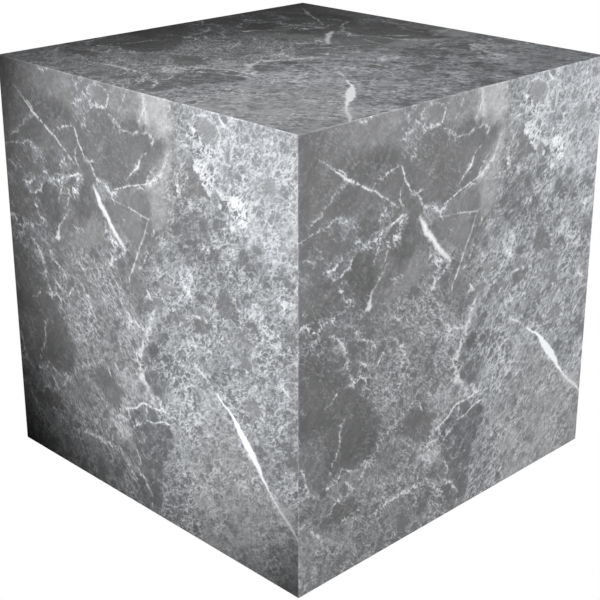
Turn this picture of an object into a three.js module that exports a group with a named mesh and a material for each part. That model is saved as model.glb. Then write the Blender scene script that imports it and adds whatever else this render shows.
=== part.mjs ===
// Marble block: one solid cube of grey veined marble, sawn on all six sides and honed flat.
// Millimetres, +Z up. The origin is the middle of the underside, so the block stands on Z = 0.
// Its sides face +X, -X, +Y and -Y.
import * as THREE from "three";
import { RoundedBoxGeometry } from "three/addons/geometries/RoundedBoxGeometry.js";

// Driving dimensions
const SIDE = 300; // edge length of the cube, face to face
const ARRIS = 0.8; // radius of the eased arrises, taken off with a hand stone so that they don't chip
const ARRIS_STEPS = 3; // flats that each arris is rounded with

// Honed marble reflects softly: no metal, and a roughness between polished and sawn.
const marble = new THREE.MeshStandardMaterial({
  name: "marble",
  color: 0x8f9194,
  roughness: 0.42,
  metalness: 0,
});

// The whole block is one stone, so it is one closed solid: a cube whose twelve arrises and eight
// corners are rounded with the same small radius.
function marbleBlock() {
  const geometry = new RoundedBoxGeometry(SIDE, SIDE, SIDE, ARRIS_STEPS, ARRIS);
  const block = new THREE.Mesh(geometry, marble);
  block.name = "marble_block";
  block.position.z = SIDE / 2;
  return block;
}

const part = new THREE.Group();
part.add(marbleBlock());

export default part;
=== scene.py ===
from math import cos, hypot, pi, radians, sin, tau

import bpy
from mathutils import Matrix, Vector


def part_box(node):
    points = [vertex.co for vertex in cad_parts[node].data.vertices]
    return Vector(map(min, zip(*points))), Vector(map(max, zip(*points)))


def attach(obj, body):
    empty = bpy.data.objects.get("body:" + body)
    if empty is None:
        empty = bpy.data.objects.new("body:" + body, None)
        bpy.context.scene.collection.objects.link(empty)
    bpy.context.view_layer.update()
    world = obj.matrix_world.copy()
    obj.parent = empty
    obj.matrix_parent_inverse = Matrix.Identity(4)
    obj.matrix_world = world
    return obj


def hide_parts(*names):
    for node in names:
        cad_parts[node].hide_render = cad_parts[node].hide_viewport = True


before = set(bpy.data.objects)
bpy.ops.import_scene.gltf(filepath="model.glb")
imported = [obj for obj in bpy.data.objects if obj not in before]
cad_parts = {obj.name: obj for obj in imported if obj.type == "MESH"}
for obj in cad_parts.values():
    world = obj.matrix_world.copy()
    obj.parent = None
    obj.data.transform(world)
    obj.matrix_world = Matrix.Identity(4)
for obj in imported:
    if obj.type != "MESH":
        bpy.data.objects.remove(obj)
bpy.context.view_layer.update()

# ---------------------------------------------------------------------------------------------
# The block. One cube of grey limestone marble, sawn on six sides from a quarry block, honed flat
# and left unpolished. Its twelve arrises are eased with a hand stone so that they don't chip.
# ---------------------------------------------------------------------------------------------
SIDE_MM = 300.0  # the same side as the frame's, for the stone, which is drawn in millimetres
ARRIS = 0.0008
ARRIS_STEPS = 3
CREASE = radians(35)

low, high = (Vector(corner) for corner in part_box("marble_block"))
side = high.x - low.x
middle = (low + high) / 2

bpy.ops.object.select_all(action="DESELECT")
bpy.ops.mesh.primitive_cube_add(size=side, location=middle)
block = bpy.context.object
block.name = "honed_block"
block.data.name = "honed_block"
bpy.ops.object.transform_apply(location=True, rotation=True, scale=True)
bpy.ops.object.mode_set(mode="EDIT")
bpy.ops.mesh.select_all(action="SELECT")
bpy.ops.mesh.bevel(offset=ARRIS, segments=ARRIS_STEPS, affect="EDGES", clamp_overlap=True)
bpy.ops.object.mode_set(mode="OBJECT")
bpy.ops.object.shade_smooth_by_angle(angle=CREASE)

# The sides are so much larger than the flats of an arris that they rule the shading, and stay
# flat right up to it.
bpy.ops.object.modifier_add(type="WEIGHTED_NORMAL")
block.modifiers[0].weight = 100
bpy.ops.object.modifier_apply(modifier=block.modifiers[0].name)

# Where a place lies on its sawn side, across and up from the side's lower left corner as 0 to 1.
# A side is known by the axis that it faces along, and by 1 where it faces down that axis. The back,
# the left side and the underside are turned or flipped, so that they don't repeat the other three.
SAWN_SIDES = {
    (1, 1): lambda x, y, z: (x, z),          # -Y, front
    (0, 0): lambda x, y, z: (y, z),          # +X, right
    (2, 0): lambda x, y, z: (x, y),          # +Z, top
    (1, 0): lambda x, y, z: (1 - z, x),      # +Y, back
    (0, 1): lambda x, y, z: (y, 1 - z),      # -X, left
    (2, 1): lambda x, y, z: (1 - y, 1 - x),  # -Z, underside
}
side_map = block.data.uv_layers.new(name="sawn_side")
for face in block.data.polygons:
    normal = face.normal
    axis = max(range(3), key=lambda i: abs(normal[i]))
    measure = SAWN_SIDES[axis, int(normal[axis] < 0)]
    for corner in face.loop_indices:
        place = (block.data.vertices[block.data.loops[corner].vertex_index].co - low) / side
        side_map.data[corner].uv = measure(*place)

# ---------------------------------------------------------------------------------------------
# The stone. A broken grey limestone healed with calcite: dark smooth clasts, a felt of fine pale
# grain between them, cloudy white patches, and white veins in the last cracks. It is drawn on a
# side in millimetres, from its lower left corner, with the edges of everything frayed by noise.
# ---------------------------------------------------------------------------------------------
def fresh_tree(owner):
    """The node tree of a material or a world, emptied."""
    owner.use_nodes = True
    owner.node_tree.nodes.clear()
    return owner.node_tree


stone = bpy.data.materials.new("honed_marble")
tree = fresh_tree(stone)


def feed(socket, value):
    """Links a socket to another one, or sets it to a plain value."""
    if isinstance(value, bpy.types.NodeSocket):
        tree.links.new(value, socket)
    else:
        socket.default_value = value


def node(kind, *values, **settings):
    """A new node with its settings, and its inputs fed in order from sockets or plain values."""
    made = tree.nodes.new(kind)
    for name, setting in settings.items():
        setattr(made, name, setting)
    for socket, value in zip(made.inputs, values):
        feed(socket, value)
    return made


def sums(operation, *values):
    """A sum done on figures."""
    return node("ShaderNodeMath", *values, operation=operation).outputs[0]


def vectors(operation, *values):
    """A sum done on places, which gives another place."""
    return node("ShaderNodeVectorMath", *values, operation=operation).outputs[0]


def measured(operation, *values):
    """A sum done on places, which gives a figure, such as a length."""
    return node("ShaderNodeVectorMath", *values, operation=operation).outputs["Value"]


def dot(place, direction):
    """How far the place lies along a direction."""
    return measured("DOT_PRODUCT", place, direction)


def mix(kind, amount, first, second):
    """The first turned by the amount into the second, where kind is FLOAT or VECTOR."""
    made = node("ShaderNodeMix", amount, data_type=kind)
    first_socket, second_socket, result = {"FLOAT": (2, 3, 0), "VECTOR": (4, 5, 1)}[kind]
    feed(made.inputs[first_socket], first)
    feed(made.inputs[second_socket], second)
    return made.outputs[result]


def ease(value, start, end, low_end=0.0, high_end=1.0):
    """The value eased from low_end at start to high_end at end, and held beyond them."""
    made = node("ShaderNodeMapRange", value, start, end, low_end, high_end,
                interpolation_type="SMOOTHSTEP")
    return made.outputs["Result"]


def noise(place, size, detail=2.0, roughness=0.5):
    """Cloudy noise whose largest lumps are about size millimetres across."""
    made = node("ShaderNodeTexNoise", noise_dimensions="2D")
    feed(made.inputs["Vector"], place)
    feed(made.inputs["Scale"], 1 / size)
    feed(made.inputs["Detail"], detail)
    feed(made.inputs["Roughness"], roughness)
    return made


def curve(value, points, handle="AUTO_CLAMPED"):
    """Reads a drawn curve at the value. Its points are (value, result), and its ends are held."""
    made = node("ShaderNodeFloatCurve")
    made.mapping.use_clip = False
    made.mapping.extend = "HORIZONTAL"
    line = made.mapping.curves[0]
    line.points[0].location = points[0]
    line.points[1].location = points[-1]
    for point in points[1:-1]:
        line.points.new(*point)
    for point in line.points:
        point.handle_type = handle
    made.mapping.update()
    feed(made.inputs["Value"], value)
    return made.outputs["Value"]


FIGURE = "NodeSocketFloat"
PLACE = "NodeSocketVector"


def layer(name, kind, sockets, draw):
    """One layer of the stone in a node group: sockets go in, and what draw makes of them comes out."""
    global tree
    outside, tree = tree, bpy.data.node_groups.new(name, "ShaderNodeTree")
    for socket in sockets:
        socket_type = PLACE if socket.type == "VECTOR" else FIGURE
        tree.interface.new_socket(socket.name, in_out="INPUT", socket_type=socket_type)
    inside = node("NodeGroupInput")
    result = draw(*inside.outputs[: len(sockets)])
    tree.interface.new_socket("Result", in_out="OUTPUT", socket_type=kind)
    node("NodeGroupOutput", result)
    made, tree = tree, outside
    return node("ShaderNodeGroup", *sockets, node_tree=made).outputs[0]


side_uv = node("ShaderNodeUVMap", uv_map="sawn_side").outputs[0]
flat = vectors("MULTIPLY", side_uv, (SIDE_MM, SIDE_MM, 0.0))


def push(size, far, detail, roughness=0.5):
    """A push of up to far millimetres each way, in swirls about size across."""
    swirls = noise(flat, size, detail, roughness).outputs["Color"]
    return vectors("MULTIPLY_ADD", swirls, (2 * far, 2 * far, 0.0), (-far, -far, 0.0))


# The place on a side in millimetres, with 1 as its third figure so that a dot product can hold an
# offset. Cracks in stone are never ruled lines, so it is pushed about: steady wanders slowly by a
# millimetre, frayed has ragged edges, chipped has slightly ragged ones, and drifted is pushed
# about by a centimetre.
CHIPPED = 0.3
lifted = vectors("ADD", flat, (0.0, 0.0, 1.0))
steady = vectors("ADD", lifted, push(18, 1.0, 1.5))
fray = push(5.0, 2.2, 2.0, 0.6)
frayed = vectors("ADD", steady, fray)
chipped = vectors("MULTIPLY_ADD", fray, (CHIPPED, CHIPPED, 0.0), steady)
drifted = vectors("ADD", lifted, push(28, 13.0, 3.0, 0.6))

# What the stone is like at a place is three figures: the tone of its dark mud from black 0 to
# white 1, how much calcite is in it, and how strongly the fine grain sorts the two.
PLAIN_STONE = (0.43, 0.21, 0.09)
RAYS = 48
HAIR = 1e-6  # how near a ray may pass an edge's end, or lie along the edge, and still count as on it
matrix = node("ShaderNodeCombineXYZ", *PLAIN_STONE).outputs[0]


def patch(place, matrix, outline, mud, calcite, contrast, edge):
    """The matrix with a patch of other stone laid over it, whose outline is points in mm.

    How far the outline reaches from its middle is found along each ray, and drawn as a curve of
    the ray's angle. The patch fades over the edge, in mm, on both sides of its outline.
    """
    centre_u = sum(u for u, v in outline) / len(outline)
    centre_v = sum(v for u, v in outline) / len(outline)
    reach = []
    for ray in range(RAYS + 1):
        angle = -pi + tau * ray / RAYS
        du, dv = cos(angle), sin(angle)
        farthest = 0.0
        for (u0, v0), (u1, v1) in zip(outline, outline[1:] + outline[:1]):
            edge_u, edge_v = u1 - u0, v1 - v0
            across = du * edge_v - dv * edge_u
            if abs(across) < HAIR:
                continue
            start_u, start_v = u0 - centre_u, v0 - centre_v
            distance = (start_u * edge_v - start_v * edge_u) / across
            along = (start_u * dv - start_v * du) / across
            if distance > 0 and -HAIR <= along <= 1 + HAIR:
                farthest = max(farthest, distance)
        reach.append((angle, farthest))
    local = vectors("SUBTRACT", place, (centre_u, centre_v, 1.0))
    turned = sums("ARCTAN2", dot(local, (0.0, 1.0, 0.0)), dot(local, (1.0, 0.0, 0.0)))
    inside = sums("SUBTRACT", curve(turned, reach), measured("LENGTH", local))
    return mix("VECTOR", ease(inside, -edge, edge), matrix, (mud, calcite, contrast))


def with_patches(name, place, matrix, patches):
    """The matrix with a family of patches laid over it in turn."""
    def draw(place, matrix):
        for outline, mud, calcite, contrast, edge in patches:
            matrix = patch(place, matrix, outline, mud, calcite, contrast, edge)
        return matrix

    return layer(name, PLACE, (place, matrix), draw)


# Broad beds of stone, from the dark fine mud on the left to the pale felted stone on the right.
# Each patch, here and below, is (outline, mud, calcite, contrast, edge).
BEDS = [
    ([(168, -30), (330, -30), (330, 330), (192, 330), (190, 290), (189, 262), (190, 240), (182, 216),
      (172, 196), (158, 150), (170, 84), (168, 30)], 0.45, 0.337, 0.115, 9),
    ([(217, 330), (330, 330), (330, 226), (285, 215), (254, 220), (240, 238), (232, 260), (220, 272),
      (214, 290)], 0.55, 0.385, 0.135, 11),
    ([(205, -30), (330, -30), (330, 40), (266, 70), (236, 96), (214, 84), (196, 40)],
     0.475, 0.33, 0.085, 11),
    ([(-30, -30), (152, -30), (140, 20), (120, 45), (60, 66), (0, 72), (-30, 72)], 0.43, 0.24, 0.09, 9),
    ([(-30, 74), (-30, 164), (24, 162), (36, 150), (46, 132), (62, 118), (73, 96), (66, 80), (36, 75)],
     0.405, 0.05, 0.065, 7),
    ([(-30, 184), (-30, 330), (194, 330), (190, 290), (188, 240), (180, 216), (168, 202), (150, 200),
      (120, 198), (92, 190), (60, 176), (30, 186)], 0.443, 0.06, 0.065, 8),
    ([(195, 240), (222, 234), (227, 212), (222, 194), (205, 196), (186, 212)], 0.43, 0.18, 0.11, 8),
    ([(226, 231), (250, 226), (285, 214), (306, 186), (285, 186), (250, 196), (227, 197)],
     0.455, 0.295, 0.115, 9),
    ([(228, 192), (258, 188), (262, 108), (230, 112)], 0.45, 0.275, 0.115, 11),
    ([(262, -30), (330, -30), (330, 36), (292, 44), (270, 24)], 0.48, 0.30, 0.085, 9),
]
matrix = with_patches("beds", drifted, matrix, BEDS)

# Cloudy calcite that soaked into the broken stone before the veins opened.
CLOUDS = [
    ([(26, 316), (128, 316), (116, 290), (92, 278), (60, 277), (34, 284)], 0.528, 0.12, 0.06, 14),
    ([(126, 306), (160, 306), (156, 284), (136, 279), (126, 286)], 0.53, 0.13, 0.06, 6),
    ([(160, 306), (155, 286), (166, 277), (186, 273), (191, 282), (190, 306)], 0.63, 0.33, 0.085, 7),
    ([(163, 238), (174, 254), (186, 272), (194, 270), (192, 250), (188, 236), (182, 220), (174, 212),
      (165, 218)], 0.59, 0.22, 0.065, 9),
    ([(158, 222), (150, 205), (120, 190), (92, 180), (70, 178), (84, 192), (104, 206), (124, 200),
      (146, 216)], 0.505, 0.12, 0.06, 8),
    ([(104, 150), (150, 152), (150, 128), (140, 112), (108, 112), (96, 130)], 0.45, 0.38, 0.105, 7),
    ([(56, 134), (76, 148), (100, 168), (132, 170), (134, 140), (130, 104), (100, 106), (76, 96),
      (64, 118)], 0.43, 0.22, 0.10, 8),
    ([(78, 92), (96, 104), (128, 104), (132, 84), (110, 66), (84, 74)], 0.435, 0.265, 0.10, 9),
    ([(137, 106), (150, 104), (155, 96), (165, 95), (165, 85), (148, 86), (130, 72), (117, 86),
      (120, 100)], 0.45, 0.375, 0.10, 6),
    ([(186, 114), (216, 116), (228, 98), (222, 80), (196, 76), (184, 92)], 0.46, 0.44, 0.11, 10),
    ([(108, 66), (132, 66), (136, 50), (132, 44), (112, 46)], 0.445, 0.40, 0.10, 6),
    ([(-10, 2), (-10, 54), (14, 52), (22, 30), (14, 2)], 0.475, 0.30, 0.09, 8),
    ([(-10, 66), (-10, 106), (16, 108), (26, 96), (24, 76), (10, 64)], 0.455, 0.14, 0.08, 8),
    ([(170, 38), (186, 36), (192, 12), (184, -6), (168, -6)], 0.43, 0.24, 0.11, 6),
    ([(208, 264), (213, 260), (217, 254), (219, 249), (223, 247), (226, 251), (229, 260), (222, 267),
      (213, 268)], 0.50, 0.70, 0.32, 2.4),
    ([(232, 253), (240, 251), (246, 253), (256, 251), (259, 242), (257, 235), (253, 233), (247, 237),
      (242, 243), (236, 246)], 0.50, 0.67, 0.32, 2.4),
    ([(213, 272), (216, 279), (222, 281), (229, 277), (228, 272), (220, 270)], 0.47, 0.48, 0.22, 2.4),
    ([(190, 190), (200, 194), (206, 192), (208, 184), (203, 173), (197, 180)], 0.47, 0.52, 0.14, 4),
    ([(254, 189), (262, 190), (270, 186), (270, 178), (260, 177), (254, 182)], 0.45, 0.50, 0.12, 3),
    ([(280, 148), (288, 152), (300, 142), (300, 126), (292, 124), (282, 134)], 0.46, 0.44, 0.12, 5),
    ([(284, 199), (296, 201), (302, 192), (294, 186), (286, 189)], 0.45, 0.41, 0.13, 3.6),
]
matrix = with_patches("clouds", frayed, matrix, CLOUDS)

# Clasts: smooth dark pieces of the first limestone, broken and drifted apart.
CLASTS = [
    ([(102, 276), (118, 281), (135, 276), (150, 275), (167, 275), (160, 262), (150, 252), (142, 243),
      (126, 239), (110, 240), (106, 247), (103, 257), (96, 262)], 0.45, 0.05, 0.07, 3.6),
    ([(130, 231), (148, 235), (162, 239), (166, 222), (150, 221), (128, 224)], 0.488, 0.04, 0.06, 2.4),
    ([(122, 219), (134, 221), (149, 217), (157, 208), (152, 198), (141, 199), (132, 208), (126, 213)],
     0.488, 0.04, 0.06, 3.6),
    ([(40, 216), (52, 219), (64, 217), (66, 206), (68, 199), (62, 190), (56, 182), (48, 187), (42, 197),
      (36, 206)], 0.398, 0.05, 0.06, 3.3),
    ([(10, 183), (15, 176), (22, 181), (32, 184), (34, 195), (32, 206), (22, 209), (10, 204), (7, 194)],
     0.408, 0.05, 0.06, 3.3),
    ([(83, 222), (92, 229), (101, 222), (105, 212), (97, 203), (88, 200), (81, 208)],
     0.41, 0.05, 0.06, 3.6),
    ([(36, 242), (30, 252), (34, 264), (50, 277), (72, 281), (86, 268), (87, 256), (70, 254), (58, 258),
      (48, 260)], 0.418, 0.05, 0.06, 6.1),
    ([(4, 218), (8, 232), (18, 240), (30, 238), (30, 226), (20, 217)], 0.44, 0.05, 0.06, 5.1),
    ([(108, 289), (111, 295), (119, 297), (126, 293), (125, 287), (117, 284)], 0.518, 0.07, 0.07, 2.4),
    ([(199, 260), (207, 262.5), (213, 257), (218, 251.6), (222, 247.4), (214, 243), (203, 241),
      (196, 244), (195, 253)], 0.488, 0.06, 0.07, 2.4),
    ([(213, 294), (223, 295), (230, 291), (232, 284), (228, 280), (220, 280), (216, 285), (212, 290)],
     0.585, 0.08, 0.1, 2.4),
    ([(229, 181), (231, 173), (236, 172), (240, 176), (245, 182), (240, 184), (238, 190), (232, 187)],
     0.488, 0.05, 0.07, 3),
    ([(205, 161), (213, 163.5), (219, 162), (220, 158), (215, 154), (209, 153.5), (206, 157)],
     0.458, 0.04, 0.06, 1.4),
    ([(140, 174), (150, 175), (153, 168), (148, 161), (141, 163)], 0.478, 0.05, 0.07, 4.1),
    ([(45, 150), (58, 149), (63, 142), (58, 136), (49, 135), (45, 139)], 0.428, 0.06, 0.06, 2.8),
    ([(94, 84), (96, 91), (103, 97), (111, 94), (119, 89), (125, 81), (123, 74), (118, 69), (110, 69),
      (102, 75), (96, 78)], 0.435, 0.05, 0.07, 3.4),
    ([(132, 71), (143, 76), (149, 81.5), (160, 81.5), (170, 81), (179, 76), (180, 68), (178, 60),
      (174, 50), (170, 42), (165, 36), (152, 38), (141, 42), (141, 50), (137, 52), (136, 58), (134, 64)],
     0.395, 0.16, 0.13, 4),
    ([(140, 44), (152, 44), (170, 44), (165, 34), (163, 27), (166, 19), (164, 12), (158, 7), (156, 14),
      (152, 22), (146, 26), (143, 32), (144, 38)], 0.41, 0.12, 0.11, 4),
    ([(29, 53), (34, 55), (44, 53.5), (50, 53), (50, 48), (45, 43), (36, 39), (28, 41)],
     0.418, 0.05, 0.06, 3.3),
    ([(38, 76), (36, 92), (40, 108), (50, 119), (62, 116), (71, 98), (68, 80), (56, 73), (46, 76)],
     0.393, 0.04, 0.06, 4.1),
    ([(93, 18), (99, 21), (103, 12), (100, 2), (93, 4)], 0.448, 0.05, 0.07, 4.1),
    ([(153, 128), (164, 134), (180, 120), (180, 104), (168, 95), (156, 97), (151, 112)],
     0.43, 0.19, 0.12, 7),
]
matrix = with_patches("clasts", frayed, matrix, CLASTS)

# Lace: torn stone where a net of fine calcite threads shows through the mud.
LACE = [
    ([(-4, 204), (-4, 226), (12, 228), (24, 222), (30, 212), (14, 206)], 0.45, 0.10, 0.09, 5),
    ([(31, 246), (36, 246), (48, 241), (52, 233), (46, 228), (38, 227), (34, 232), (33, 239)],
     0.46, 0.19, 0.12, 3),
    ([(43, 229), (50, 229), (60, 225), (68, 227), (70, 218), (64, 215), (54, 217), (46, 219)],
     0.45, 0.19, 0.12, 3),
    ([(19, 214), (26, 219), (33, 222), (42, 221), (47, 215), (40, 209), (34, 205), (26, 207)],
     0.45, 0.19, 0.12, 3),
    ([(66, 247), (78, 246), (83, 238), (79, 226), (71, 222), (69, 230)], 0.45, 0.17, 0.11, 3),
    ([(80, 215), (84, 229), (92, 234), (96, 230), (89, 222), (87, 213)], 0.46, 0.17, 0.11, 2.5),
    ([(84, 302), (106, 302), (110, 282), (100, 270), (91, 272), (86, 282)], 0.49, 0.18, 0.11, 5),
    ([(110, 234), (124, 234), (132, 228), (126, 220), (114, 221), (108, 227)], 0.48, 0.22, 0.12, 3),
    ([(-2, 188), (10, 184), (34, 188), (46, 190), (52, 180), (50, 170), (36, 160), (20, 164), (-2, 166)],
     0.42, 0.15, 0.11, 5),
    ([(42, 172), (54, 174), (66, 160), (70, 148), (62, 134), (48, 130), (42, 136), (46, 152)],
     0.43, 0.15, 0.10, 5),
    ([(116, 200), (127, 198), (133, 188), (129, 176), (118, 173), (114, 184)], 0.47, 0.17, 0.11, 4),
    ([(180, 238), (190, 262), (203, 258), (200, 238), (188, 224)], 0.48, 0.30, 0.10, 5),
]
matrix = with_patches("lace", frayed, matrix, LACE)

# Pebbles: the same stone broken smaller, each (across, up, width, height, tone of its mud).
PEBBLES = [
    (158, 77, 10, 6, 0.42), (172, 69, 14, 8, 0.4), (155.5, 66, 9, 7, 0.42), (139, 70, 7, 5, 0.44),
    (147, 62, 5, 4, 0.43), (155, 59, 9, 5, 0.41), (168, 59, 8, 5, 0.4), (178, 60, 5, 4, 0.43),
    (140, 56, 7, 5, 0.42), (144, 54.5, 5, 3, 0.42), (137, 50, 4, 6, 0.43), (142.5, 45, 7, 9, 0.41),
    (150, 47, 8, 8, 0.41), (165, 47, 9, 7, 0.42), (157, 39, 10, 7, 0.42), (147, 38, 5, 6, 0.43),
    (153, 28, 7, 7, 0.43), (163, 33, 8, 6, 0.43), (160, 21, 7, 8, 0.43), (161, 12, 7, 8, 0.43),
    (36, 170.5, 5, 3, 0.44), (24, 175, 11, 7, 0.475), (6, 177, 8, 7, 0.45), (170.5, 145, 5, 5, 0.43),
    (178, 141, 4.5, 4, 0.42), (155, 115, 7, 7, 0.43), (162, 108, 8, 6, 0.44), (156, 104, 6, 5, 0.45),
    (172, 104, 6, 5, 0.45), (186, 110, 4.5, 4.5, 0.45), (152, 156, 4, 3.4, 0.43),
    (136, 160.6, 5, 3.4, 0.43), (169, 162.4, 11, 4.6, 0.52), (186, 158, 8, 5, 0.48), (178, 175, 9, 9, 0.57),
    (186, 176, 7, 6, 0.55), (102, 126.6, 5, 4, 0.43), (113, 136, 6, 3, 0.45), (142, 124.6, 6, 5, 0.46),
    (134.4, 80, 3, 3.4, 0.46), (123.6, 26, 6, 6, 0.44), (107, 28, 7, 5, 0.45), (64, 66, 6, 5, 0.46),
    (77, 87, 3.4, 3.6, 0.42), (260, 117, 13, 12, 0.53), (241, 272, 5, 4, 0.58), (206, 230, 7, 4.6, 0.48),
    (232, 238, 5, 4, 0.5), (242, 223, 6, 4, 0.5), (278, 24, 6, 4.5, 0.49), (255, 146.4, 9, 8, 0.498),
    (251, 163.2, 8, 6, 0.498), (185.5, 157, 8, 6, 0.478), (86, 157, 10, 8, 0.44), (46, 156, 7, 10, 0.42),
    (55, 154, 8, 8, 0.42), (263.5, 173.6, 5, 7, 0.46), (288.2, 159, 6.5, 4, 0.46),
    (265.6, 223.6, 7, 5, 0.51), (277.6, 265, 9.6, 9, 0.59), (297, 94.6, 9, 7, 0.49),
    (208.4, 83.6, 7, 6, 0.48), (206.4, 265, 7, 5, 0.52), (202, 5.2, 7, 7, 0.46), (67, 36.6, 15, 6, 0.42),
    (85, 42.6, 9, 6.4, 0.42), (127.6, 36.4, 8, 10, 0.44),
    (162.5, 126.6, 11, 8.4, 0.39), (213.5, 167.6, 13, 4.6, 0.53), (194.6, 156.4, 11, 8, 0.52),
    (294.4, 174, 10, 9, 0.49),
]
PEBBLE_CALCITE = 0.05
PEBBLE_CONTRAST = 0.09


def with_pebbles(place, matrix):
    """The matrix with every pebble laid over it, each fading out just past its radius."""
    for u, v, wide, tall, mud in PEBBLES:
        stretch = (2 / wide, 2 / tall, 0.0)
        local = vectors("MULTIPLY_ADD", place, stretch, (-2 * u / wide, -2 * v / tall, 0.0))
        cover = ease(measured("LENGTH", local), 1.35, 0.75, 0.0, 0.9)
        matrix = mix("VECTOR", cover, matrix, (mud, PEBBLE_CALCITE, PEBBLE_CONTRAST))
    return matrix


matrix = layer("pebbles", PLACE, (frayed, matrix), with_pebbles)

# The grain of the stone is the same everywhere, and stronger or fainter with the matrix: pale threads
# finer than a millimetre with dark grains between them, drawn out along the way the bed was
# squeezed, which falls to the right on the left half and rises on the right half.
def swirled(size, far):
    """The place on a side pushed about by up to far millimetres, in swirls about size across."""
    return vectors("MULTIPLY_ADD", noise(flat, size, 1.5).outputs["Color"], (far, far, 0.0), flat)


def drawn_out(place, turn, stretch):
    """The place turned by some degrees and shortened that way, so that what is drawn on it is long."""
    right, up = cos(radians(turn)), sin(radians(turn))
    along = dot(place, (right / stretch, up / stretch, 0.0))
    across = dot(place, (-up, right, 0.0))
    return node("ShaderNodeCombineXYZ", along, across).outputs[0]


def threads(place, size, detail, wide):
    """Fine threads along the line where slow noise passes its middle."""
    fold = noise(place, size, detail).outputs[0]
    return ease(sums("ABSOLUTE", sums("SUBTRACT", fold, 0.5)), wide, 0.0)


def round_grains(place, size, largest, bare, rim):
    """Round grains of chance sizes, one to a cell; bare is the share of cells left empty."""
    cells = node("ShaderNodeTexVoronoi", voronoi_dimensions="2D", feature="F1")
    feed(cells.inputs["Vector"], place)
    feed(cells.inputs["Scale"], 1 / size)
    chance = dot(cells.outputs["Color"], (1.0, 0.0, 0.0))
    reach = ease(chance, bare, 1.0, 0.0, largest)
    return ease(sums("SUBTRACT", reach, cells.outputs["Distance"]), -0.09, rim)


large_grains = round_grains(drawn_out(frayed, 30, 1.25), 11.0, 0.37, 0.35, 0.08)
grains = round_grains(drawn_out(swirled(4.0, 3.0), 30, 1.3), 5.2, 0.40, 0.2, 0.14)
small_grains = round_grains(swirled(3.0, 2.0), 3.0, 0.42, 0.2, 0.16)

# How much paler, or darker where it is less than 0, each kind of grain makes the stone.
COARSE_THREADS = 2.24
FINE_THREADS = 1.92
FLECKS = 5.0
FELT_LEVEL = -3.0
LARGE_GRAINS = -1.9
GRAINS = -2.2
SMALL_GRAINS = -1.6
soft_curl = swirled(7.0, 4.2)
curl = swirled(3.4, 4.2)


def felt(turn, stretch, detail):
    """The threads, flecks and lumps of the stone, drawn out at the turn in degrees."""
    place = drawn_out(soft_curl, turn, stretch)
    coarse = sums("MULTIPLY", threads(place, 4.2, detail, 0.10), COARSE_THREADS)
    fine = sums("MULTIPLY_ADD", threads(place, 2.4, 1.0, 0.12), FINE_THREADS, coarse)
    flecks = noise(drawn_out(curl, turn, 0.7 * stretch), 1.3, 1.0).outputs[0]
    lumps = noise(place, 8.0, 2.0, 0.6).outputs[0]
    flecked = sums("MULTIPLY_ADD", flecks, FLECKS, sums("ADD", fine, FELT_LEVEL))
    return sums("ADD", lumps, flecked)


right_half = ease(dot(flat, (1.0, 0.0, 0.0)), 130, 185)
grain = mix("FLOAT", right_half, felt(-42, 2.5, 2.0), felt(37, 2.3, 1.5))
grain = sums("MULTIPLY_ADD", grains, GRAINS, grain)
grain = sums("MULTIPLY_ADD", small_grains, SMALL_GRAINS, grain)
grain = sums("MULTIPLY", grain, ease(noise(flat, 26, 2.0).outputs[0], 0.36, 0.64, 0.7, 1.2))
grain = sums("MULTIPLY_ADD", large_grains, LARGE_GRAINS, grain)

# Silk: where the mud is smooth it keeps the fine brushed streaks it was squeezed into.
SILK = 0.13
silk_place = drawn_out(drifted, 50, 7.0)
silk = sums("MULTIPLY_ADD", noise(silk_place, 3.4, 3.0, 0.6).outputs[0], SILK, -SILK / 2)

# Clouds from half a centimetre to a few centimetres across make the calcite richer and poorer, and
# the mud lighter and darker.
CLOUDING = 0.8
MUD_CLOUDING = 0.12
clouding = sums("MULTIPLY_ADD", noise(flat, 34, 3.0, 0.6).outputs[0], CLOUDING, -CLOUDING / 2)

mud, share, contrast = node("ShaderNodeSeparateXYZ", matrix).outputs
mud = sums("MULTIPLY_ADD", clouding, MUD_CLOUDING, mud)
mud = sums("MULTIPLY_ADD", silk, ease(contrast, 0.12, 0.06), mud)
calcite = sums("MULTIPLY_ADD", grain, contrast, share)
calcite = sums("MULTIPLY_ADD", clouding, share, calcite)

# Veins, drawn last because they cut everything else. Each is a distance in mm, more than 0 inside
# it, and the calcite is lifted by a drawn curve of the distance to the nearest vein of its family.
# Swelling makes veins swell and pinch by fractions of a millimetre. Sparkle is the grain that shows
# in their white: faint in the clean ones, and coming and going in the broken ones.
swelling = ease(noise(flat, 2.8, 2.0, 0.6).outputs[0], 0.34, 0.66, -0.4, 0.15)
sparkle = sums("MULTIPLY_ADD", grain, 0.22, 0.83)
faint_sparkle = sums("MULTIPLY_ADD", grain, 0.11, 0.92)
broken = ease(noise(flat, 12, 2.0).outputs[0], 0.36, 0.62, 0.55, 1.05)
broken_sparkle = sums("MULTIPLY", broken, sparkle)
STEADY_WIDTH = 0.0
NO_SPARKLE = 1.0
FADE = 8.0


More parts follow.
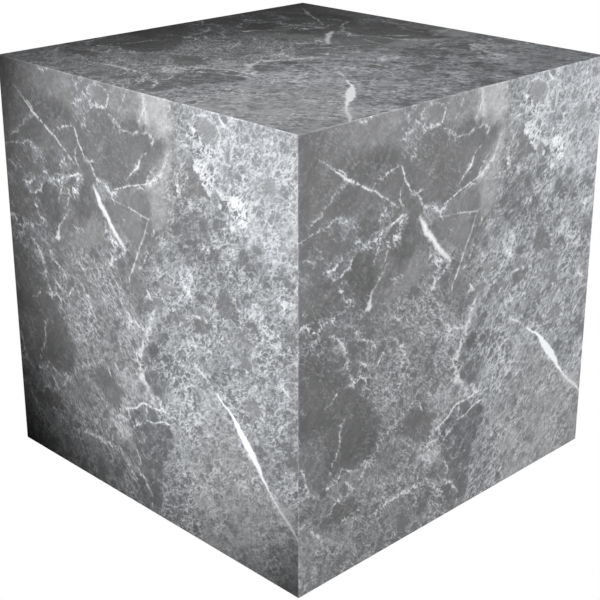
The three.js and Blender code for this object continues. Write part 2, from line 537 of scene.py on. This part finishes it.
def vein(place, nearest, points):
    """The nearest vein with one more: its points are (across, up, half width) in mm, and run one way.

    Its spine and its half width are curves of the distance along the straight line from its first
    point to its last. Beyond them it narrows away within the fade, in mm.
    """
    (u0, v0, _), (u1, v1, _) = points[0], points[-1]
    length = hypot(u1 - u0, v1 - v0)
    du, dv = (u1 - u0) / length, (v1 - v0) / length
    spine, swell = [], [(-FADE, -FADE)]
    for u, v, half in points:
        reach = (u - u0) * du + (v - v0) * dv
        if spine and reach <= spine[-1][0]:
            raise ValueError(f"vein turns back at {u}, {v}")
        spine.append((reach, (v - v0) * du - (u - u0) * dv))
        swell.append((reach, half))
    swell.append((length + FADE, -FADE))
    along = dot(place, (du, dv, -u0 * du - v0 * dv))
    beside = dot(place, (-dv, du, u0 * dv - v0 * du))
    away = sums("ABSOLUTE", sums("SUBTRACT", beside, curve(along, spine, "AUTO")))
    inside = sums("SUBTRACT", curve(along, swell), away)
    return sums("MAXIMUM", nearest, inside) if nearest else inside


def with_veins(name, place, swelling, sparkle, calcite, veins, lift):
    """The calcite with a family of veins; lift is a curve of (distance in mm, calcite added)."""
    def draw(place):
        nearest = None
        for points in veins:
            nearest = vein(place, nearest, points)
        return nearest

    nearest = layer(name, FIGURE, (place,), draw)
    lifted = curve(sums("ADD", nearest, swelling), lift)
    return sums("MULTIPLY_ADD", lifted, sparkle, calcite)


# White calcite gashes, clean edged and swollen in the middle, where the block was pulled apart.
GASHES = [
    [(226, 115.6, 0), (229, 114, 0.5), (234.5, 110.6, 0.8), (240, 107, 1.2), (245, 101, 2.0),
     (248.6, 96.2, 2.5), (253.0, 91.6, 3.1), (257.1, 87.5, 3.2), (261.3, 82.6, 2.6), (264.8, 77.4, 1.8),
     (267.8, 73, 1.2), (272, 68, 0.75), (275, 65, 0.5), (278, 62, 0.3), (281, 59.4, 0)],
]
calcite = with_veins("gashes", chipped, swelling, NO_SPARKLE, calcite, GASHES,
                     [(-7, 0), (-1.5, 0.06), (-0.4, 0.3), (0.6, 2.0)])

# Softer gashes of the same kind, where the calcite is stained by the stone.
STAINED_GASHES = [
    [(105, 228, 0), (106.4, 225.6, 1.2), (109, 222, 2.2), (111.4, 217.4, 2.7), (115, 213, 2.7),
     (119, 208.8, 2.5), (122, 205, 2.2), (126, 200.6, 2.0), (130, 197.4, 1.9), (134, 193.4, 1.8),
     (138, 189.4, 0)],
    [(204.5, 130, 0), (207.5, 128.2, 0.6), (210.5, 126.8, 0.9), (213.2, 125.4, 0.8), (215.8, 124, 0)],
    [(277.6, 62.4, 0), (280, 60, 0.3), (283, 57.2, 0.7), (289, 52, 1.1), (295, 46.5, 1.1),
     (298.4, 43, 0.7), (301, 40, 0)],
]
calcite = with_veins("stained_gashes", chipped, swelling, NO_SPARKLE, calcite, STAINED_GASHES,
                     [(-6, 0), (-2.5, 0.05), (-1.0, 0.12), (-0.2, 0.3), (0.5, 0.62), (1.3, 1.1),
                      (2.2, 1.6)])

# Strands: thin clean threads of white calcite, side by side or branching.
STRANDS = [
    [(16, 282, 0), (20, 280, 0.2), (27, 275, 0.6), (33, 270.5, 0.95), (38, 267, 1.15), (43, 264, 1.2),
     (48, 261.5, 0.9), (52, 259.6, 0)],
    [(24, 278, 0), (27, 276, 0.4), (33, 273, 0.65), (37, 270, 0.7), (40.5, 267, 0)],
    [(47, 262.4, 0), (50, 261, 0.7), (55, 258, 0.85), (60, 255, 0.85), (65, 252.6, 0.7),
     (70, 249, 0.45), (75, 246, 0.3), (80, 242, 0.3), (87, 237, 0)],
    [(79, 228.4, 0), (81, 229, 0.5), (85, 230.5, 0.85), (90, 232.5, 0.6), (92.5, 233.5, 0)],
    [(86.6, 265, 0), (89.6, 258, 0.75), (91, 254, 0.9), (95, 249, 0.8), (97.5, 245, 0.6),
     (101, 242.4, 0)],
    [(84.6, 291, 0), (88, 286, 0.4), (92, 284, 0.5), (99, 285, 0)],
    [(163.6, 262, 0), (157, 256, 0.5), (155, 251, 0.9), (151, 247.5, 0.6), (146, 243.5, 0.5),
     (142.6, 240.4, 0)],
    [(129.6, 70.6, 0), (134, 73, 0.5), (138, 74.6, 0.5), (142, 76, 0.6), (145, 79, 0.7),
     (148.4, 82, 0.8), (153, 82.8, 0.7), (158, 82.4, 0.5), (163, 83, 0.5), (167, 83.6, 0.5),
     (171, 86.6, 0)],
    [(151, 70.4, 0), (156, 70.8, 0.35), (162, 72, 0.45), (166.6, 73.6, 0.5), (171, 75.6, 0.5),
     (176, 76, 0.3), (182, 75, 0)],
    [(127, 230, 0), (137, 233, 0.6), (145, 236, 0.7), (152, 238, 0.7), (161, 241, 0.6), (168, 244, 0.5),
     (176.4, 248.6, 0)],
]
calcite = with_veins("strands", steady, swelling, faint_sparkle, calcite, STRANDS,
                     [(-3, 0), (-1, 0.06), (-0.2, 0.25), (0.3, 0.65), (0.8, 1.0)])

# Bands: broad soft seams, where calcite only soaked into the stone along a crack.
BANDS = [
    [(9, 245, 0), (14, 247, 0.9), (18, 248.6, 1), (21, 252, 1), (25, 254.5, 1), (29, 258, 1),
     (34, 261, 0.9), (41, 264.5, 0)],
    [(166, 156, 0), (163.4, 151.6, 1.1), (161, 146, 1.4), (159, 141, 1.4), (157, 137, 1.5),
     (155, 131.6, 1.6), (152.4, 126, 1.6), (149.6, 121, 1.9), (148.4, 116, 1.8), (148.6, 110.6, 1.7),
     (150.2, 105, 1.8), (152.6, 100, 1.7), (155.6, 95.6, 0)],
    [(150.6, 124, 0), (146.6, 120.6, 1.2), (144.8, 116, 1.2), (146, 110.6, 1.2), (148, 104.6, 1.2),
     (150, 98, 0)],
    [(27, 171.6, 0), (32.6, 167.6, 1.5), (36, 163.4, 1.7), (38.6, 158, 1.4), (40, 152, 1.3),
     (42.6, 146, 1.2), (44, 140, 1.0), (45.6, 135, 0.9), (47.6, 129, 0)],
    [(42.6, 132.6, 0), (47, 133, 1.2), (52, 134.8, 1.2), (57, 133, 1.1), (62, 131.6, 0.9), (70, 131, 0)],
    [(-2, 68.6, 0), (4, 69.8, 0.3), (10, 69.4, 0.2), (15, 66, 0)],
    [(71, 32.6, 0), (76, 34.4, 0.2), (82, 35.6, 0.6), (89, 34.2, 0.8), (96, 35.6, 0.8),
     (103, 34.8, 0.7), (110, 36.4, 0.5), (117, 36.8, 0.5), (123, 35.6, 0)],
    [(156.4, 276.6, 0), (158.4, 282, 0.9), (161, 286, 0.9), (164, 291, 0)],
    [(163, 300.6, 0), (163.6, 292, 0.8), (165.4, 284, 1.0), (169.6, 275.6, 0)],
    [(163, 239, 0), (170, 243.6, 0.6), (176, 249, 1.3), (180, 256, 1.0), (185, 263, 0.3), (189, 270, 0)],
    [(60, 187, 0), (62, 189, -0.3), (66, 192.8, -0.5), (71, 197, 0)],
]
calcite = with_veins("bands", frayed, STEADY_WIDTH, sparkle, calcite, BANDS,
                     [(-4, 0), (-1.5, 0.06), (0, 0.22), (1.2, 0.46), (2.6, 0.62)])

# Ragged veins: strings of calcite beads that follow the edges of the clasts, and short wisps of the
# same that start and stop in the felt.
RAGGED = [
    [(-2, 235.6, 0), (5, 237, 0.6), (10, 238.5, 0.7), (15, 239.5, 0.7), (20, 240.5, 0.7),
     (25, 241.2, 0.7), (29, 243.5, 0.7), (32, 244.6, 0.7), (35, 246, 0)],
    [(19, 240.8, 0), (24, 237, 0.5), (28, 233.4, 0.6), (32, 230.6, 0)],
    [(4, 224.6, 0), (8, 224.6, 0.6), (10.4, 222, 0.7), (14, 219.6, 0)],
    [(11, 232, 0), (16, 228, 0.5), (18.5, 225, 0.6), (19.6, 220, 0)],
    [(32, 245, 0), (36, 242, 0.7), (40, 240.5, 0.7), (44, 239, 0.6), (46.4, 236, 0.7), (49, 231, 0)],
    [(43, 219, 0), (45, 222, 0.9), (48, 225, 1.2), (52, 224.4, 1), (55, 222, 0.9), (58, 219.4, 0.8),
     (62, 217.4, 0)],
    [(49, 219.6, 0), (54, 219.6, 0.8), (60, 221, 0.8), (66, 222, 0.8), (69, 225, 0)],
    [(19, 212.6, 0), (24, 212, 1.2), (28, 213, 1.3), (33, 215.6, 1.2), (37, 218, 0)],
    [(33, 206, 0), (37, 208, 0.9), (42, 210.4, 0.9), (45, 213.4, 0.8), (47, 217, 0)],
    [(26, 207.6, 0), (31, 205.4, 0.6), (36, 203, 0.6), (42, 199, 0)],
    [(63.6, 207, 0), (65, 211.6, 1.1), (67, 215, 1.2), (69.3, 217.8, 1), (69.6, 222, 0.9), (72, 227, 0)],
    [(70.6, 223, 0), (74, 221.4, 0.7), (76.8, 217.6, 0.8), (77, 214, 0.8), (75, 209.6, 0.8),
     (72.6, 205, 0)],
    [(82.8, 213.6, 0), (84, 218.6, 1.3), (84.6, 222.4, 1.5), (86.6, 226.4, 1.2), (89.4, 229.4, 0.9),
     (92, 232, 0)],
    [(89.8, 234.8, 0), (88.8, 238.4, 0.9), (87, 242.4, 1.1), (86.8, 246, 1.1), (88.4, 249.4, 0.9),
     (92, 252.6, 0)],
    [(91, 233.4, 0), (93.4, 231.8, 0.6), (97, 229.6, 0)],
    [(67, 233, 0), (69.4, 236.6, 0.7), (72, 239, 0.8), (74.6, 242, 0.7), (77, 246, 0)],
    [(85.6, 281, 0), (89, 281, 1.1), (91, 278.4, 0.8), (93.4, 275.4, 0)],
    [(89.6, 271, 0), (94, 269.4, 1), (98.6, 267.6, 0.9), (102, 266, 0)],
    [(63, 257.6, 0), (70, 260.6, 0.6), (76, 262.6, 0.7), (82, 264, 0.7), (88, 265.8, 0)],
    [(92, 293, 0), (94.6, 297, 0.8), (97, 301, 0)],
    [(49, 299.6, 0), (53, 297.6, 0.8), (58, 298.8, 0.8), (63, 300.4, 0)],
    [(99, 244.4, 0), (104, 243.4, 0.8), (110, 244.4, 0)],
    [(101.4, 244, 0), (105, 240.6, 0.8), (108, 236, 0.8), (110, 231, 0)],
    [(107, 298.6, 0), (105.2, 294, 0.8), (105.2, 289.6, 0.9), (107.4, 285.4, 0.9), (110, 281.6, 0)],
    [(104.6, 284.8, 0), (110, 283.4, 0.9), (116, 283, 1.1), (122, 284, 1), (127, 286.6, 0)],
    [(127.4, 283, 0), (126, 287, 0.9), (126.4, 291, 1), (129, 295.6, 0.9), (131, 301, 0)],
    [(108, 297, 0), (113, 297.8, 0.7), (118, 296.4, 0.8), (123, 297, 0.9), (128, 293.6, 0)],
    [(98, 291, 0), (102, 287.6, 1.1), (106, 283, 1.1), (110, 279.6, 0)],
    [(124, 282, 0), (128, 279, 0.9), (132.6, 276.4, 0.8), (139, 272.6, 0)],
    [(138, 271.6, 0), (144, 271.8, 0.8), (150, 272.2, 0.8), (156, 274, 0.9), (162, 274.8, 0.9),
     (168, 274.6, 0.9), (173, 273, 0)],
    [(172.6, 274, 0), (171, 271.2, 1.3), (168.6, 269.2, 1.2), (166, 267.4, 0)],
    [(150.4, 252.6, 0), (153, 251.2, 1.5), (156, 249.6, 0)],
    [(118, 231.6, 0), (123, 228, 0.9), (128, 227.4, 0.9), (132, 229.6, 0)],
    [(127.6, 228, 0), (126, 224.6, 0.8), (128.6, 221.6, 0)],
    [(149, 233.6, 0), (153.6, 236, 0.6), (158, 237.6, 0.7), (161.6, 237, 0.8), (164.6, 240, 0)],
    [(161.4, 240.4, 0), (164, 245, 0.8), (168, 250, 0.8), (173, 254.4, 0)],
    [(161, 208.4, 0), (165, 207.2, 0.8), (168, 208.6, 0.8), (169.6, 213.4, 0)],
    [(193, 254.6, 0), (197, 258.6, 0.7), (202, 263.6, 0)],
    [(193.4, 241.6, 0), (193.8, 246, 0.9), (193.6, 252, 0)],
    [(188.6, 294, 0), (190, 298, 0.9), (191.6, 302, 0)],
    [(110, 232.4, 0), (114, 231.6, 0.7), (119, 231.4, 0.7), (121, 228, 0)],
    [(77, 193, 0), (82, 192.2, 0.8), (86.6, 193, 1.1), (90, 192, 0.9), (92.4, 189, 0)],
    [(33, 204, 0), (34.6, 199.6, 0.9), (37, 195, 0.9), (40, 190, 0.8), (42, 187, 0)],
    [(39, 190.6, 0), (43, 189.4, 0.7), (46, 186, 0.7), (48.6, 182, 0.7), (50.6, 178.6, 0.6),
     (55, 175.6, 0)],
    [(68, 194.6, 0), (70.6, 198, 0.4), (74, 200.6, 0.5), (76, 205, 0)],
    [(-2, 180, 0), (2, 183, 1.3), (6, 182.6, 1.3), (9.6, 180, 1.1), (11.6, 177, 1), (14, 174, 0.9),
     (16, 172, 0)],
    [(13, 173, 0), (16.6, 175.8, 1), (20.6, 179.2, 1.1), (25, 180.6, 1.1), (29.4, 180, 1), (33, 183, 0)],
    [(43.6, 172.6, 0), (48, 168, 0.6), (52, 163.4, 0.5), (57, 159.6, 0.6), (61.6, 157, 0.8),
     (65.4, 154, 0.7), (68.6, 150, 0)],
    [(69.4, 139, 0), (72.4, 142.4, 1.1), (76.4, 146.6, 0)],
    [(54, 145.6, 0), (56.6, 142.4, 0.5), (60.6, 141, 0.6), (64, 143.4, 0.5), (66, 148, 0)],
    [(22.4, 124, 0), (24, 124.2, 0.8), (28, 127.4, 0.4), (31, 129, 0.6), (35, 130.4, 0)],
    [(-1, 130.6, 0), (4, 128.2, 0.6), (8, 126, 0)],
    [(41.4, 113, 0), (38.4, 109.4, 0.7), (36.2, 105.6, 0.9), (36, 100, 0.8), (35.4, 94.6, 0.9),
     (34.6, 91, 1), (31.6, 87, 0.9), (28.6, 82.4, 1), (27.6, 78.6, 0.9), (29.4, 74.6, 0.8),
     (32, 70.4, 1), (34, 68, 0)],
    [(82.6, 152, 0), (87, 150, 0.4), (91, 145, 0.4), (95, 139, 0.4), (97.6, 133, 0)],
    [(89, 141, 0), (92, 134, 0.4), (92.6, 127, 0.4), (95, 119, 0)],
    [(82, 167.6, 0), (86, 165, 0.7), (91, 161, 0)],
    [(119.6, 196, 0), (123, 194, 1.5), (126, 192.6, 1.4), (131, 191, 0)],
    [(122.6, 192.6, 0), (124, 189.6, 1.1), (126, 187, 0)],
    [(131, 183.6, 0), (133.4, 185.6, 1.1), (136, 186.6, 0)],
    [(126.6, 181.4, 0), (123.4, 179, 1.6), (121.6, 175.4, 1.4), (119, 172, 0)],
    [(157, 168, 0), (160, 165.6, 0.9), (163, 163, 0.8), (165, 160, 0)],
    [(131, 151, 0), (135, 147.8, 0.7), (138, 144.4, 0.8), (141.6, 141.2, 0)],
    [(136, 139, 0), (139.6, 139.8, 1.2), (142, 141, 0)],
    [(145, 140.8, 0), (150, 139.4, 0.8), (157, 137.6, 0)],
    [(190, 150.6, 0), (195, 156, 0.7), (202, 162, 0)],
    [(112, 94.6, 0), (113.4, 92.4, 0.5), (115, 90, 0)],
    [(158.6, 90.4, 0), (163, 90.6, 1.2), (166, 92.2, 1.1), (170.6, 92.6, 0)],
    [(169, 93, 0), (168.8, 89, 1.4), (170.6, 86, 1.5), (174, 84, 0)],
    [(151.6, 82, 0), (152.8, 78, 0.3), (153, 74, 0)],
    [(140, 51, 0), (138.8, 46, 0.7), (140.4, 41.6, 0.7), (143, 37.6, 0.8), (142.6, 33, 0)],
    [(136, 60, 0), (140, 62.6, 1.3), (144, 64, 1.3), (147, 66, 0)],
    [(120, 36.6, 0), (125, 33.4, 1), (129, 29, 1), (132, 24.4, 0.9), (136, 21, 0.9), (142, 18, 0)],
    [(138, 30, 0), (142, 27, 1), (146, 24.4, 1), (149.4, 20.6, 1), (152, 16.4, 0.9), (155.4, 13, 0.9),
     (155.6, 8, 0.8), (154, 4, 0)],
    [(31, 70, 0), (34.6, 71, 1.1), (38, 76.4, 0.9), (42, 75, 0.8), (46, 72.6, 0.8), (51, 71.6, 0)],
    [(56, 72, 0), (60.4, 73.4, 0.9), (64.4, 70.8, 0)],
    [(19.6, 64, 0), (23, 67.4, 0.9), (28, 68.4, 0.9), (32, 68.6, 0)],
    [(-1, 92, 0), (3, 88.4, 0.9), (5.2, 83, 0.9), (6.6, 78, 0.9), (7.6, 71.6, 0)],
    [(-2, 76.6, 0), (2, 78.4, 1), (6, 82, 0)],
    [(8.6, 44.6, 0), (11.4, 41.8, 1.2), (15, 39, 0.7), (19, 36.2, 0.6), (23, 33.4, 0.5), (27, 30, 0)],
    [(23.4, 34, 0), (20.6, 31, 0.8), (16.6, 26.6, 0)],
    [(27.6, 53, 0), (31.6, 54.8, 0.4), (36, 55, 0.45), (40, 54.6, 0.3), (44, 52.4, 0)],
    [(51.6, 60.4, 0), (56, 64.6, 0.6), (59, 68.6, 0.7), (61.6, 73, 0)],
    [(41.6, 67.4, 0), (44.4, 63, 0.5), (49, 59, 0)],
    [(36, 38, 0), (40.4, 40, 0.7), (45, 39, 0.7), (48.6, 36.6, 0)],
    [(0, 50, 0), (9, 50.8, 0.6), (17, 50.6, 0.6), (24, 49, 0)],
    [(200, 175, 0), (202, 180, 1), (203.4, 183.6, 1.1), (205, 187.6, 0)],
    [(204, 164, 0), (208, 164.3, 0.7), (213, 163.9, 0.8), (217, 163.8, 0)],
    [(248, 146, 0), (251, 142.6, 0.8), (255, 141.2, 0.9), (259, 143.8, 0)],
    [(212, 210.4, 0), (217, 211.8, 0.8), (221, 212.2, 0.9), (225, 211.4, 0.8), (230, 212.6, 0)],
    [(223.6, 212, 0), (227, 214.4, 0.7), (228.4, 220, 0)],
    [(207, 289, 0), (212, 286, 1.2), (215.6, 282.6, 1.5), (217.6, 278.4, 1.5), (221, 274.6, 0)],
    [(210, 294, 0), (215, 296, 0.9), (221, 296.2, 1.1), (226, 294, 1.2), (230, 292, 0)],
    [(230, 294, 0), (233.4, 289.6, 1.4), (234.6, 285, 1.3), (232.6, 280.4, 1.4), (230, 277, 0)],
    [(229, 300.5, 0), (233, 298.6, 1.3), (236, 295.8, 1.3), (241, 293.3, 0)],
    [(236, 284, 0), (241, 284.6, 0.8), (244, 287, 0.8), (249, 289, 0)],
    [(199, 273.4, 0), (204, 274.4, 0.8), (209, 276.2, 0)],
    [(201, 280.4, 0), (205, 280.8, 0.9), (212, 279, 0)],
    [(249, 263, 0), (252, 263.6, 1.4), (255, 264.8, 1.3), (259, 266.4, 0)],
    [(219, 130, 0), (219.4, 127, 0.8), (219.6, 123, 0)],
    [(281, 140.6, 0), (285, 141.4, 1), (289, 139.4, 1.1), (293, 136.6, 0)],
    [(266.6, 171.4, 0), (270, 173.4, 0.9), (274, 173, 0.8), (278, 175, 0)],
    [(284, 198, 0), (288, 194.6, 0.9), (291.6, 190, 0)],
]
calcite = with_veins("ragged_veins", frayed, swelling, broken_sparkle, calcite, RAGGED,
                     [(-5, 0), (-2, 0.03), (-0.8, 0.09), (0.0, 0.25), (0.5, 0.45), (1.0, 0.6), (2, 0.8)])

# Hairlines: late cracks, nearly straight, about a millimetre wide and half closed by calcite.
HAIRLINES = [
    [(124, 223.4, 0), (135, 221.6, 0.7), (150, 220, 0.75), (160, 218, 0.7), (165, 217.4, 0)],
    [(164.5, 219, 0), (160, 210, 0.6), (154.6, 199, 0.7), (150, 189.5, 0.8), (146, 181, 0.9),
     (143, 175.4, 0.7), (140.4, 172, 0)],
    [(141, 174, 0), (141, 170, 0.7), (142.4, 164.5, 0)],
    [(162, 194.5, 0), (158.6, 189, 0.8), (156.4, 185, 0.9), (153.6, 182.4, 0.9), (151, 180, 0)],
    [(108, 149.5, 0), (112, 146, 0.7), (117, 142.4, 0)],
    [(147, 300, 0), (141, 290, 0.35), (136, 282, 0)],
]
calcite = with_veins("hairlines", steady, STEADY_WIDTH, faint_sparkle, calcite, HAIRLINES,
                     [(-2, 0), (-0.5, 0.04), (0.0, 0.18), (0.7, 0.5)])

# The teardrop: one pocket where a crack opened, with the stem that fed it.
TEARDROP = [
    [(56.4, 178, 0), (58, 178.4, 1.2), (59.8, 179, 1.9), (61.6, 179.8, 1.1), (63.2, 181, 0)],
    [(59.8, 178, 0), (60.6, 181.6, 1.4), (61.2, 184.4, 0.9), (61.8, 187, 0.4), (62.8, 189, 0)],
]
calcite = with_veins("teardrop", chipped, STEADY_WIDTH, NO_SPARKLE, calcite, TEARDROP,
                     [(-7, 0), (-1.2, 0.05), (0, 0.45), (1.2, 0.9), (3, 1.3)])

# Blebs: single specks of calcite, each (across, up, radius, calcite added).
BLEBS = [
    (279.0, 291.3, 1.6, 0.7), (254.4, 284.6, 1.3, 0.6), (233.4, 243.2, 2.2, 0.85), (240.0, 238.4, 1.8, 0.7),
    (243.4, 231.8, 2.4, 0.75), (203.8, 254.0, 1.3, 0.6), (210.0, 277.4, 1.9, 0.7), (232.0, 278.8, 1.9, 0.7),
    (230.0, 264.4, 2.0, 0.7), (243.0, 258.2, 1.6, 0.6), (237.6, 65.2, 1.1, 0.6), (242.4, 61.4, 1.1, 0.4),
    (112.8, 93.4, 1.3, 0.6), (122.4, 68.2, 1.2, 0.5), (51.2, 81.6, 0.9, 0.5), (79.4, 87.2, 1.0, 0.5),
    (4.0, 191.6, 1.3, 0.4), (36.2, 196.8, 1.5, 0.5), (117.2, 198.4, 1.4, 0.6), (136.4, 211.0, 0.7, 0.7),
    (155.8, 218.0, 0.6, 0.6), (78.0, 49.6, 1.2, 0.45), (71.6, 31.4, 1.3, 0.45), (128.6, 158.0, 1.6, 0.4),
    (158.0, 163.2, 1.5, 0.5), (246.0, 138.2, 1.5, 0.5), (238.4, 157.0, 1.1, 0.5), (216.2, 145.6, 1.1, 0.5),
    (264.0, 187.4, 1.8, 0.5), (289.0, 197.6, 1.5, 0.6), (278.4, 89.2, 1.4, 0.5), (289.2, 84.4, 1.5, 0.5),
    (189.4, 89.4, 1.7, 0.5), (183.4, 172.6, 1.0, 0.5), (197.4, 181.2, 1.8, 0.7), (219.6, 235.0, 1.2, 0.4),
]


def with_blebs(place, calcite):
    """The calcite with every bleb added, whitest in the middle and gone just past its radius."""
    for u, v, radius, added in BLEBS:
        away = measured("DISTANCE", place, (u, v, 1.0))
        calcite = sums("ADD", calcite, ease(away, radius * 1.2, radius * 0.2, 0.0, added))
    return calcite


calcite = layer("blebs", FIGURE, (frayed, calcite), with_blebs)

# Calcite shows from the mud's own tone up to that of felt, and on to white where it is clean.
FELT_WHITE = 0.84
CLEAN_WHITE = 0.955
whitest = ease(calcite, 1.0, 1.9, FELT_WHITE, CLEAN_WHITE)
tone = mix("FLOAT", ease(calcite, 0.0, 1.0), mud, whitest)

# The arrises are rubbed by handling: a ragged rim, a millimetre or so wide, paler and duller than the
# sides. How near a place is to an arris is the middle one of its three distances from the centre.
RIM = 0.0012
WORN_PALER = 0.045
WORN_DULLER = 0.12
centred = vectors("SUBTRACT", node("ShaderNodeTexCoord").outputs["Object"], tuple(middle))
reach_x, reach_y, reach_z = node("ShaderNodeSeparateXYZ", vectors("ABSOLUTE", centred)).outputs
shorter, longer = sums("MINIMUM", reach_x, reach_y), sums("MAXIMUM", reach_x, reach_y)
near_arris = sums("MAXIMUM", shorter, sums("MINIMUM", longer, reach_z))
ragged = noise(flat, 4.0, 2.0, 0.6).outputs[0]
worn = ease(sums("MULTIPLY_ADD", ragged, 2 * RIM, near_arris), side / 2, side / 2 + RIM)
tone = sums("MULTIPLY_ADD", worn, WORN_PALER, tone)

# Tones are spaced as the eye sees them, so they are turned into amounts of light. The smooth mud is
# a neutral grey, the felt a bluer one, and clean calcite nearly white.
EYE_OFFSET = 0.055
EYE_POWER = 2.4
MUD_TINT = (0.992, 1.0, 1.02)
FELT_TINT = (0.966, 1.0, 1.05)
CALCITE_TINT = (0.985, 1.0, 1.015)
lifted_tone = sums("MULTIPLY_ADD", tone, 1 / (1 + EYE_OFFSET), EYE_OFFSET / (1 + EYE_OFFSET))
tint = mix("VECTOR", ease(contrast, 0.07, 0.13), MUD_TINT, FELT_TINT)
tint = mix("VECTOR", ease(tone, 0.75, 0.9), tint, CALCITE_TINT)
colour = node("ShaderNodeVectorMath", tint, operation="SCALE")
feed(colour.inputs["Scale"], sums("POWER", lifted_tone, EYE_POWER))

# Honed, not polished: the dark mud stays the dullest, and calcite takes the best finish. The hone
# leaves pits about a millimetre apart, too shallow to see but for the way they spread the light.
MUD_ROUGHNESS = 0.56
CALCITE_ROUGHNESS = 0.46
PIT_ROUGHNESS = 0.14
PIT_DEPTH = 0.0004
PIT_STRENGTH = 0.06
fine_pits = noise(flat, 1.1, 2.0, 0.6).outputs[0]
roughness = ease(tone, 0.4, 0.9, MUD_ROUGHNESS, CALCITE_ROUGHNESS)
roughness = sums("MULTIPLY_ADD", worn, WORN_DULLER, roughness)
roughness = sums("MULTIPLY_ADD", fine_pits, PIT_ROUGHNESS, roughness)
hone_marks = node("ShaderNodeBump", PIT_STRENGTH, PIT_DEPTH)
feed(hone_marks.inputs["Height"], fine_pits)

surface = node("ShaderNodeBsdfPrincipled")
feed(surface.inputs["Base Color"], colour.outputs[0])
feed(surface.inputs["Roughness"], roughness)
feed(surface.inputs["Normal"], hone_marks.outputs[0])
feed(surface.inputs["IOR"], 1.486)
feed(surface.inputs["Specular IOR Level"], 0.25)
node("ShaderNodeOutputMaterial", surface.outputs[0])

block.data.materials.append(stone)
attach(block, "root")
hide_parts("marble_block")

# ---------------------------------------------------------------------------------------------
# The floor and the air of the studio: white paper and white air, so evenly lit that the block casts
# no shadow on them. They are white to the camera and throw only a little light on the block.
# ---------------------------------------------------------------------------------------------
WHITE = (1.0, 1.0, 1.0, 1.0)
THROWN_LIGHT = 0.015


def white_light():
    """Full strength where the camera looks at it, and weak where it lights the block."""
    seen = node("ShaderNodeLightPath").outputs["Is Camera Ray"]
    return ease(seen, 0.0, 1.0, THROWN_LIGHT, 1.0)


bpy.ops.mesh.primitive_plane_add(size=40, location=(0, 0, 0))
floor = bpy.context.object
floor.name = "studio_floor"
paper = bpy.data.materials.new("studio_paper")
tree = fresh_tree(paper)
node("ShaderNodeOutputMaterial", node("ShaderNodeEmission", WHITE, white_light()).outputs[0])
floor.data.materials.append(paper)

world = bpy.data.worlds.new("studio")
bpy.context.scene.world = world
tree = fresh_tree(world)
node("ShaderNodeOutputWorld", node("ShaderNodeBackground", WHITE, white_light()).outputs[0])

# ---------------------------------------------------------------------------------------------
# The lamps: a far one in front, up high, with a soft-edged pool of light that covers the front; a
# wide softbox that lights the right side evenly; and a low one behind for the sides at the back.
# ---------------------------------------------------------------------------------------------
def lamp(kind, name, place, aim, power, **settings):
    """A lamp at a place, turned to its aim, with its power in watts."""
    bpy.ops.object.light_add(type=kind, location=place)
    made = bpy.context.object
    made.name = name
    made.rotation_euler = (Vector(aim) - Vector(place)).to_track_quat("-Z", "Y").to_euler()
    made.data.energy = power
    for option, setting in settings.items():
        setattr(made.data, option, setting)


lamp("SPOT", "front_lamp", (0.58, -6.0, 3.24), (0.04, -0.15, 0.207), 2415,
     spot_size=radians(4.0), spot_blend=0.78, shadow_soft_size=0.04)
lamp("AREA", "side_softbox", (1.44, 0.29, 0.71), (0.15, 0.1, 0.15), 26.5, size=1.2)
lamp("AREA", "back_softbox", (-2.4, 2.4, 0.14), (-0.1, 0.1, 0.14), 120,
     shape="RECTANGLE", size=1.6, size_y=0.24)

# ---------------------------------------------------------------------------------------------
# The camera: a long lens a metre away and half a metre up, turned to the near arris and looking
# down. The lens is dropped a little in its mount, which spares the camera some of its tilt.
# ---------------------------------------------------------------------------------------------
CAMERA_PLACE = Vector((0.66304, -0.65323, 0.49620))
CAMERA_AIM = Vector((-0.01152, 0.01193, 0.15))
SENSOR_MM = 36
LENS_MM = 80.99
LENS_SHIFT = (-0.0026, -0.0858)
bpy.ops.object.camera_add(location=CAMERA_PLACE)
camera = bpy.context.object
camera.name = "camera"
camera.rotation_euler = (CAMERA_AIM - CAMERA_PLACE).to_track_quat("-Z", "Y").to_euler()
camera.data.sensor_width = SENSOR_MM
camera.data.lens = LENS_MM
camera.data.shift_x, camera.data.shift_y = LENS_SHIFT
bpy.context.scene.camera = camera
bpy.context.scene.view_settings.view_transform = "Standard"
